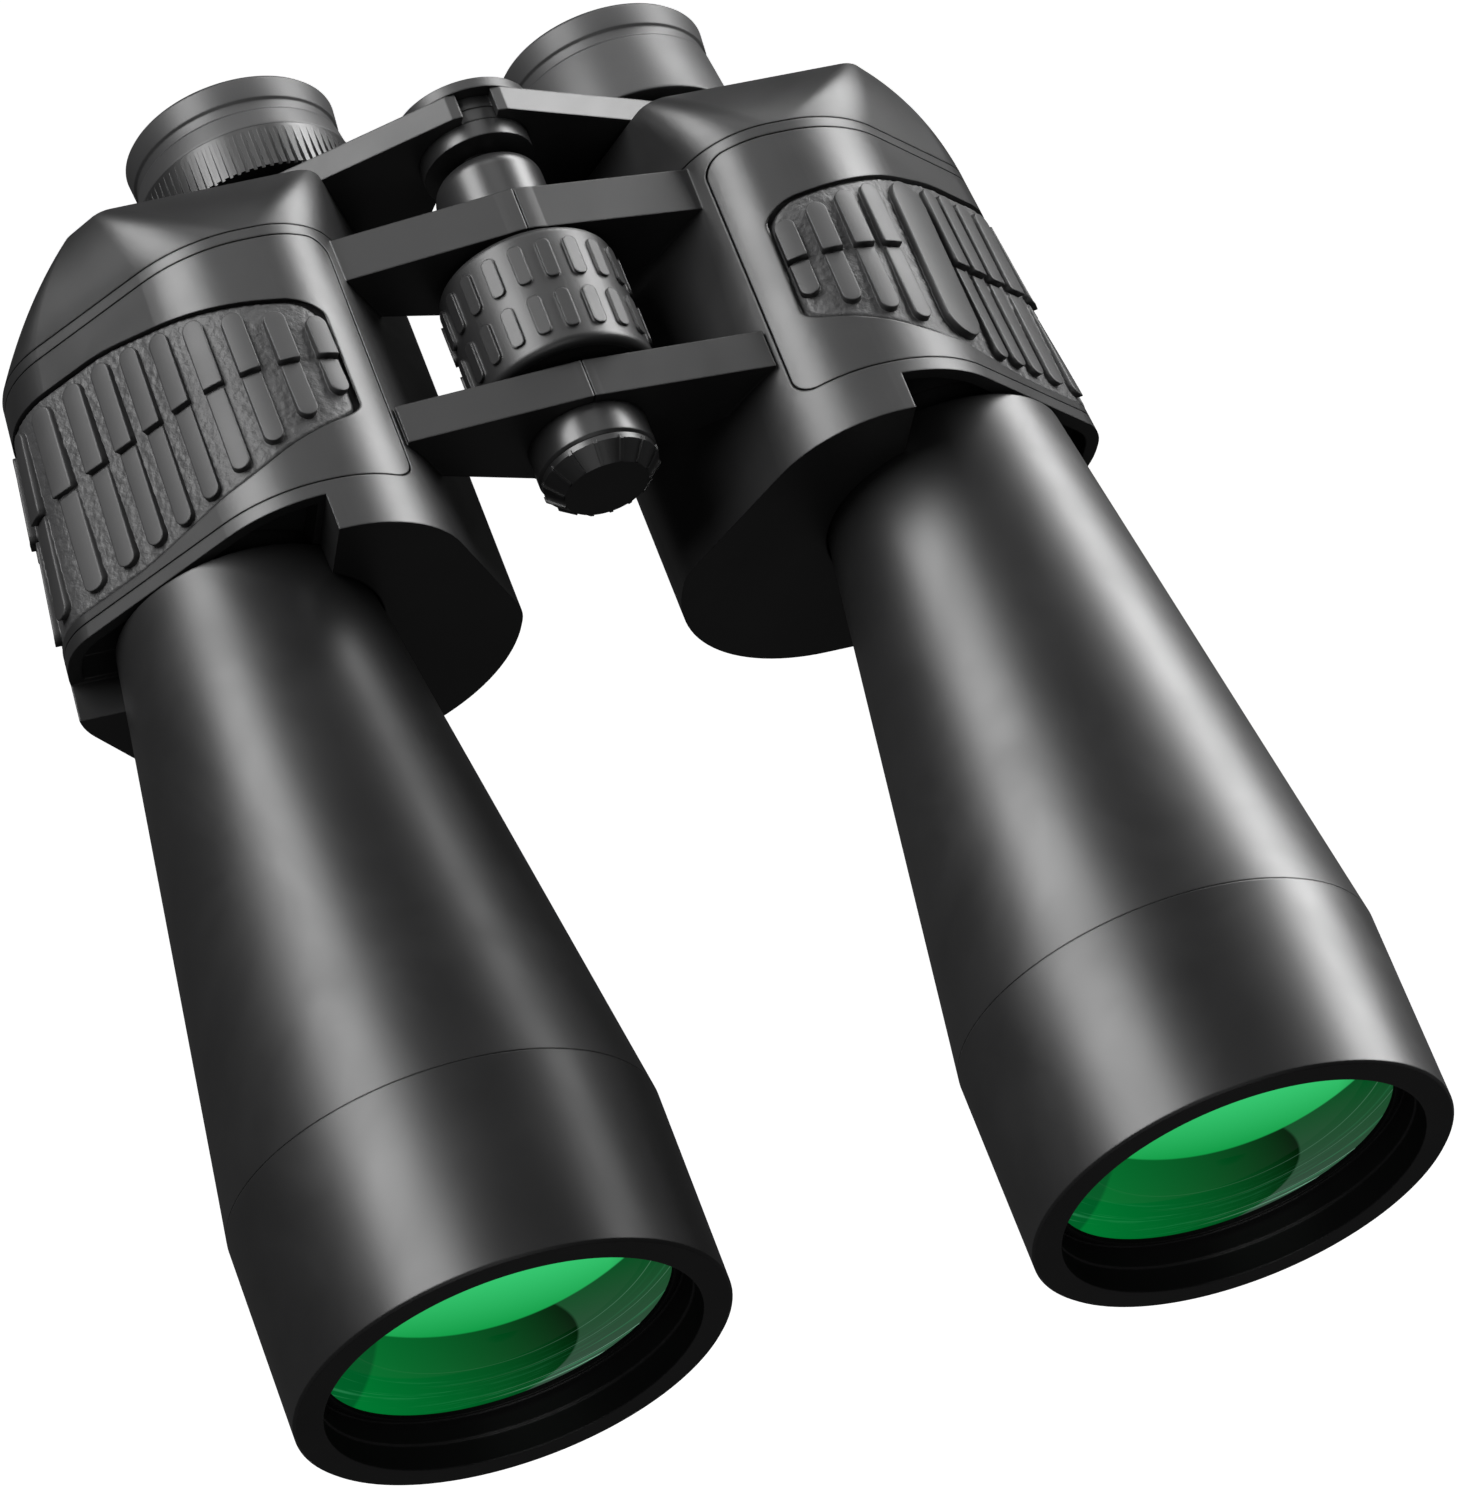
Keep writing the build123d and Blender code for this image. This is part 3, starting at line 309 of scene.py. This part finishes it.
SHEET_STEP, QUICK_STEP = 0.42, 0.9
SHEET_R = 38.0                  # typical radius, which turns the step into an angle
SHEET_BACK = 0.05               # the sheet's back clears the pocket floor by this
SUNK = -1.45                    # where the sheet goes outside its outline, from the armour's face
PEBBLE_SCALE, PEBBLE_RISE, PEBBLE_SLOPE = 620.0, 0.16, 2.2
# (outset of the outline, drop below the rib's top) of the rings from foot to top
RIB_RINGS = ((-0.10, None), (0.0, 0.20), (0.02, 0.08), (0.08, 0.02), (0.20, 0.0))
RIB_FOOT = -1.2
END_STEPS, SIDE_STEPS = 9, 12


class Flank:
    """The outer surface of one housing, found by station and angle round the rib axis."""

    def __init__(self, side, sign):
        mesh = NODES[side + "_prism_housing"].data
        bm = bmesh.new()
        bm.from_mesh(mesh)
        self.tree = BVHTree.FromBMesh(bm)
        bm.free()
        self.sign = sign

    def hit(self, station, angle, shift=0.0):
        """Point of the pocket floor in metres, and the way out along the ray. shift is across it."""
        turn = math.radians(angle)
        out = Vector((self.sign * math.cos(turn), 0, math.sin(turn)))
        across = Vector((self.sign * math.sin(turn), 0, -math.cos(turn)))
        axis = Vector((self.sign * RIB_AXIS[0], station - SOCKET_STATION, RIB_AXIS[1])) * MM
        start = axis + across * shift * MM + out * RAY_START
        return self.tree.ray_cast(start, -out)[0], out


def rounded_polygon(corners, steps=10):
    """Points round a polygon whose corners are (x, y, radius)."""
    points = []
    count = len(corners)
    for i in range(count):
        here = Vector(corners[i][:2])
        to_last = (Vector(corners[i - 1][:2]) - here).normalized()
        to_next = (Vector(corners[(i + 1) % count][:2]) - here).normalized()
        radius = corners[i][2]
        half = to_last.angle(to_next) / 2
        centre = here + (to_last + to_next).normalized() * radius / math.sin(half)
        first = here + to_last * radius / math.tan(half) - centre
        last = here + to_next * radius / math.tan(half) - centre
        for k in range(steps + 1):
            blend = first.lerp(last, k / steps).normalized() * radius
            points.append(centre + blend)
    return np.array([p[:] for p in points])


def inside_by(points, outline):
    """How far each point lies inside a closed outline; negative is outside."""
    ahead = np.roll(outline, -1, axis=0)
    edge = ahead - outline
    offset = points[:, None, :] - outline[None]
    along = np.clip((offset * edge).sum(-1) / (edge**2).sum(-1), 0, 1)
    gap = np.linalg.norm(offset - along[..., None] * edge, axis=-1).min(1)
    x, y = points[:, 0, None], points[:, 1, None]
    spans = (outline[None, :, 1] > y) != (ahead[None, :, 1] > y)
    rise = np.where(edge[:, 1] == 0, 1e-9, edge[:, 1])
    cross = outline[None, :, 0] + (y - outline[None, :, 1]) * (edge[:, 0] / rise)[None]
    inside = (spans & (x < cross)).sum(1) % 2 == 1
    return np.where(inside, gap, -gap)


def grid_normals(places):
    """Smooth outward normals of a grid of points, of shape (rows, columns, 3)."""
    down = np.gradient(places, axis=0)
    right = np.gradient(places, axis=1)
    normal = np.cross(down, right)
    return normal / np.linalg.norm(normal, axis=-1, keepdims=True)


def rib_ends(angle):
    """Front and rear stations of a rib. The ones further up the flank are shorter."""
    ahead, behind = max(0.0, angle - 50.0), max(0.0, angle - 40.0)
    return 169.5 + 0.09 * ahead + 0.003 * ahead**2, 211.2 - 0.1 * behind - 0.0009 * behind**2


class Skin:
    """Vertices and faces of one piece, gathered before its mesh is made."""

    def __init__(self):
        self.points, self.faces, self.kinds = [], [], []

    def grid(self, places, kind, closed=False):
        """Faces over an array of points of shape (rows, columns, 3)."""
        rows, columns = places.shape[:2]
        start = len(self.points)
        self.points += [tuple(p) for p in places.reshape(-1, 3)]
        for i in range(rows - 1):
            for j in range(columns if closed else columns - 1):
                k = (j + 1) % columns
                self.faces.append((start + i * columns + j, start + i * columns + k,
                                   start + (i + 1) * columns + k, start + (i + 1) * columns + j))
                self.kinds.append(kind)
        return start

    def cap(self, ring, kind):
        self.faces.append(tuple(ring))
        self.kinds.append(kind)

    def object(self, name, materials, flip):
        mesh = bpy.data.meshes.new(name)
        faces = [tuple(reversed(f)) for f in self.faces] if flip else self.faces
        mesh.from_pydata(self.points, [], faces)
        for material in materials:
            mesh.materials.append(material)
        mesh.polygons.foreach_set("material_index", self.kinds)
        mesh.polygons.foreach_set("use_smooth", [True] * len(faces))
        mesh.update()
        piece = bpy.data.objects.new(name, mesh)
        bpy.context.scene.collection.objects.link(piece)
        return piece


def panel_base(skin, flank):
    """Pebbled sheet with a closed back, sunk below the armour's lip."""
    step = SHEET_STEP
    stations = np.arange(*SHEET_STATIONS, step)
    angles = np.arange(*SHEET_ANGLES, -step / SHEET_R * 57.3)
    floor_points = np.array([[flank.hit(station, angle)[0][:] for angle in angles]
                             for station in stations])
    normals = grid_normals(floor_points) * -flank.sign
    outer = floor_points + normals * POCKET_DEPTH * MM
    up = (-(np.abs(outer[..., 0]) / MM - GRIP_CENTRE[0]) * math.sin(GRIP_TILT)
          + (outer[..., 2] / MM - GRIP_CENTRE[1]) * math.cos(GRIP_TILT))
    across = outer[..., 1] / MM + SOCKET_STATION
    outline = rounded_polygon(GRIP_OUTLINE)
    depth = inside_by(np.stack([up.ravel(), across.ravel()], -1), outline).reshape(up.shape)
    keep = np.clip((depth - 0.15) / 0.5, 0, 1)
    rows, columns = up.shape
    pebbles = np.zeros(up.shape)
    for i in range(rows):
        for j in range(columns):
            if depth[i, j] > 0.1:
                spot = Vector(outer[i, j]) * PEBBLE_SCALE
                nearest, second = noise.voronoi(spot, distance_metric="DISTANCE")[0][:2]
                pebbles[i, j] = PEBBLE_RISE * min(1.0, PEBBLE_SLOPE * (second - nearest))
    height = SUNK + keep * (-SUNK - PANEL_SINK - 0.10 + pebbles)
    top = floor_points + normals * ((POCKET_DEPTH + height) * MM)[..., None]
    back = floor_points + normals * SHEET_BACK * MM
    start = skin.grid(top, 0)
    lower = skin.grid(back[:, ::-1], 0)
    rim = [(i, 0) for i in range(rows)] + [(rows - 1, j) for j in range(1, columns)]
    rim += [(i, columns - 1) for i in range(rows - 2, -1, -1)]
    rim += [(0, j) for j in range(columns - 2, 0, -1)]
    for (i, j), (k, m) in zip(rim, rim[1:] + rim[:1]):
        skin.cap((start + i * columns + j, start + k * columns + m,
                  lower + k * columns + columns - 1 - m, lower + i * columns + columns - 1 - j), 0)


def rib_outline(front, rear, half, round_front, round_rear, inset):
    """One side of a rib's outline as (station, distance from the middle) points."""
    half -= inset
    front, rear = front + inset, rear - inset
    turns = np.linspace(0, math.pi / 2, END_STEPS)
    if round_front:
        points = [(front + half * (1 - math.cos(t)), half * math.sin(t)) for t in turns]
    else:
        points = [(front, 0.0), (front, half)]
    start = points[-1][0]
    span = (rear - half if round_rear else rear) - start
    points += [(start + span * k / SIDE_STEPS, half) for k in range(1, SIDE_STEPS)]
    if round_rear:
        points += [(rear - half * (1 - math.sin(t)), half * math.cos(t)) for t in turns]
    else:
        points += [(rear, half), (rear, 0.0)]
    return points


def rib_block(skin, flank, angle, width, front, rear, ends, low, high):
    """Raised rib with a rounded upper edge. low and high are its heights at front and rear."""
    rings = []
    for inset, drop in RIB_RINGS:
        half = rib_outline(front, rear, width / 2, ends[0], ends[1], inset)
        loop = half + [(s, -u) for s, u in reversed(half[1:-1])]
        ring = []
        for station, shift in loop:
            place, out = flank.hit(station, angle, shift)
            along = min(1.0, max(0.0, (station - front) / (rear - front)))
            proud = low + (high - low) * along
            height = RIB_FOOT if drop is None else proud - drop
            ring.append(place + out * (POCKET_DEPTH + height) * MM)
        rings.append(ring)
    count = len(rings[0])
    start = skin.grid(np.array([[p[:] for p in ring] for ring in rings]), 1, closed=True)
    top = start + (len(rings) - 1) * count
    for i in range(len(half) - 1):
        face = (top + (count - i) % count, top + i, top + i + 1, top + (count - i - 1) % count)
        face = tuple(dict.fromkeys(face))       # at the ends two corners are one
        if len(face) > 2:
            skin.cap(face, 1)
    skin.cap([start + i for i in reversed(range(count))], 1)


def grip_panels():
    """One rubber panel a side: a pebbled sheet with ribs in two parts, a short and a long one."""
    paints = (MATERIALS["grip_pebble"], MATERIALS["grip_rubber"])
    ahead, behind = RIB_BREAK - RIB_GAP / 2, RIB_BREAK + RIB_GAP / 2
    for side, sign in SIDES:
        flank = Flank(side, sign)
        skin = Skin()
        panel_base(skin, flank)
        for angle in RIB_ANGLES[side]:
            front, rear = rib_ends(angle)
            rib_block(skin, flank, angle, RIB_W, behind, rear, (False, True), 1.15, 0.55)
            rib_block(skin, flank, angle, RIB_W - 0.3, front, ahead, (True, False), 0.95, 0.15)
        if side == "left":
            angle, width = PLATE_RIB
            front, rear = rib_ends(angle)
            rib_block(skin, flank, angle, width, front + 1.0, rear, (True, True), 1.2, 0.9)
        piece = skin.object(side + "_grip_rubber", paints, sign < 0)
        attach(piece, side + "_half")
        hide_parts(side + "_grip_panel")


# ---- soft eyecups -------------------------------------------------------------
CUP_AXIS = (37.8, -22.7)
# (radius, station, corner radius) from the collar round the lip and back down inside
CUP_OUTLINE = ((20.62, 262.4, 0.3), (20.15, 262.9, 0.25), (20.15, 264.8, 0.25), (20.62, 265.3, 0.3),
               (20.98, 269.7, 0.5), (20.3, 270.5, 0.35), (19.4, 270.4, 0.5), (15.3, 265.6, 0.9),
               (14.7, 263.4, 0.2), (16.1, 263.25, 0.1))
CUP_BORE = 16.1                 # inside radius at the foot
CUP_TURNS = 128


def eyecups():
    """Rubber cups with a sunk band, a rolled lip and soft corners."""
    turns = np.linspace(0, 2 * math.pi, CUP_TURNS, endpoint=False)
    for side, sign in SIDES:
        node = side + "_eyecup"
        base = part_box(node)[0].y / MM + SOCKET_STATION
        points = np.array([v.co[:] for v in NODES[node].data.vertices]) / MM
        spread = np.hypot(points[:, 0] - sign * CUP_AXIS[0], points[:, 2] - CUP_AXIS[1])
        base_r = spread[points[:, 1] + SOCKET_STATION < base + 0.3].max()
        corners = [(CUP_BORE, base, 0.1), (base_r, base, 0.25), (base_r, base + 0.6, 0.15)]
        profile = rounded_polygon(corners + list(CUP_OUTLINE), 4)
        r, y = profile[:, 0, None], profile[:, 1, None] - SOCKET_STATION + 0 * turns
        x, z = sign * CUP_AXIS[0] + r * np.cos(turns), CUP_AXIS[1] + r * np.sin(turns)
        places = np.stack([x, y, z], -1) * MM
        skin = Skin()
        skin.grid(np.concatenate([places, places[:1]]), 0, closed=True)
        piece = skin.object(side + "_soft_eyecup", (MATERIALS["cup_rubber"],), False)
        bm = bmesh.new()
        bm.from_mesh(piece.data)
        bmesh.ops.remove_doubles(bm, verts=bm.verts, dist=1e-7)
        bmesh.ops.recalc_face_normals(bm, faces=bm.faces)
        bm.to_mesh(piece.data)
        bm.free()
        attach(piece, "left_eyepiece" if side == "left" else "dioptre")
        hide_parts(node)


# ---- stage, lights and camera ------------------------------------------------
def floor():
    """White sweep under the object, which neither lights it nor shows in its gloss."""
    mesh = bpy.data.meshes.new("floor")
    corners = [(a * FLOOR_REACH, b * FLOOR_REACH, CAD_BOX[0].z)
               for a, b in ((-1, -1), (1, -1), (1, 1), (-1, 1))]
    mesh.from_pydata(corners, [], [(0, 1, 2, 3)])
    plane = bpy.data.objects.new("floor", mesh)
    bpy.context.scene.collection.objects.link(plane)
    m = Nodes("floor")
    tone = m.mix(m.noise(4.0), (0.86, 0.86, 0.86, 1), (0.9, 0.9, 0.9, 1))
    m.put(m.bsdf, "Base Color", tone)
    m.put(m.bsdf, "Emission Color", tone)
    m.put(m.bsdf, "Emission Strength", FLOOR_GLOW)
    m.put(m.bsdf, "Roughness", 0.6)
    mesh.materials.append(m.material)
    plane.visible_glossy = False
    plane.visible_diffuse = False
    plane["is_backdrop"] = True


def strip(name, place, aim, reach, width, power, skip=(), keep=()):
    """Soft strip light lying along Y. place and aim are (x, z), reach is (from, to) in y.
    Pieces named in skip don't receive it, and where keep names pieces only they do."""
    light = bpy.data.lights.new(name, "AREA")
    light.shape = "RECTANGLE"
    light.size, light.size_y = reach[1] - reach[0], width
    light.energy = power
    lamp = bpy.data.objects.new(name, light)
    bpy.context.scene.collection.objects.link(lamp)
    lamp.location = (place[0], (reach[0] + reach[1]) / 2, place[1])
    back = Vector((place[0] - aim[0], 0, place[1] - aim[1])).normalized()
    along = Vector((0, 1, 0))
    turn = Matrix((along, back.cross(along), back)).transposed()
    lamp.rotation_mode = "QUATERNION"
    lamp.rotation_quaternion = turn.to_quaternion()
    if skip or keep:
        lit = bpy.data.collections.new(name + "_lit")
        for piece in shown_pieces():
            if piece.name not in skip and (not keep or piece.name in keep):
                lit.objects.link(piece)
        lamp.light_linking.receiver_collection = lit


def lights():
    """Even light, and strips whose soft bands lie along the tubes. Each tube has its own."""
    world = bpy.data.worlds.new("studio")
    bpy.context.scene.world = world
    world.use_nodes = True
    background = world.node_tree.nodes["Background"]
    background.inputs["Color"].default_value = (1, 1, 1, 1)
    background.inputs["Strength"].default_value = AMBIENT
    left_tube = ("left_objective_barrel", "left_objective_hood")
    right_tube = ("right_objective_barrel", "right_objective_hood")
    strip("key", (-0.84, 0.86), (-0.07, 0), (0.05, 1.8), 0.66, 44, left_tube)
    strip("right", (0.95, 0.38), (0.07, 0), (0.05, 1.8), 0.60, 34, left_tube + right_tube)
    strip("edge", (0.90, 0.46), (-0.07, 0), (0.05, 1.6), 0.20, 7, left_tube)
    strip("second_key", (-0.83, 0.66), (0.07, 0), (0.05, 1.8), 0.74, 48, keep=left_tube)
    strip("rim", (1.10, 0.26), (0.07, 0), (0.05, 1.8), 0.50, 46, keep=left_tube)
    strip("fill", (-0.30, 0.90), (0, 0), (-1.6, -0.6), 1.20, 5)
    strip("back", (0.10, 1.10), (0, 0), (0.7, 1.7), 0.60, 5, left_tube + right_tube)


def camera():
    """Long lens from above and ahead, the objectives nearest."""
    azimuth, elevation = math.radians(CAMERA_AZIMUTH), math.radians(CAMERA_ELEVATION)
    back = Vector((math.sin(azimuth) * math.cos(elevation), -math.cos(azimuth) * math.cos(elevation),
                   math.sin(elevation)))
    data = bpy.data.cameras.new("camera")
    data.sensor_width = 36.0
    data.sensor_fit = "AUTO"
    data.lens = CAMERA_LENS
    data.clip_start, data.clip_end = CAMERA_CLIP
    cam = bpy.data.objects.new("camera", data)
    bpy.context.scene.collection.objects.link(cam)
    cam.location = Vector(CAMERA_AIM) + back * CAMERA_DISTANCE
    cam.rotation_mode = "QUATERNION"
    roll = Matrix.Rotation(math.radians(CAMERA_ROLL), 3, "Z").to_quaternion()
    cam.rotation_quaternion = (-back).to_track_quat("-Z", "Y") @ roll
    bpy.context.scene.camera = cam


finish_cad_nodes()
grip_panels()
eyecups()
floor()
lights()
camera()
bpy.context.scene.view_settings.view_transform = "Standard"
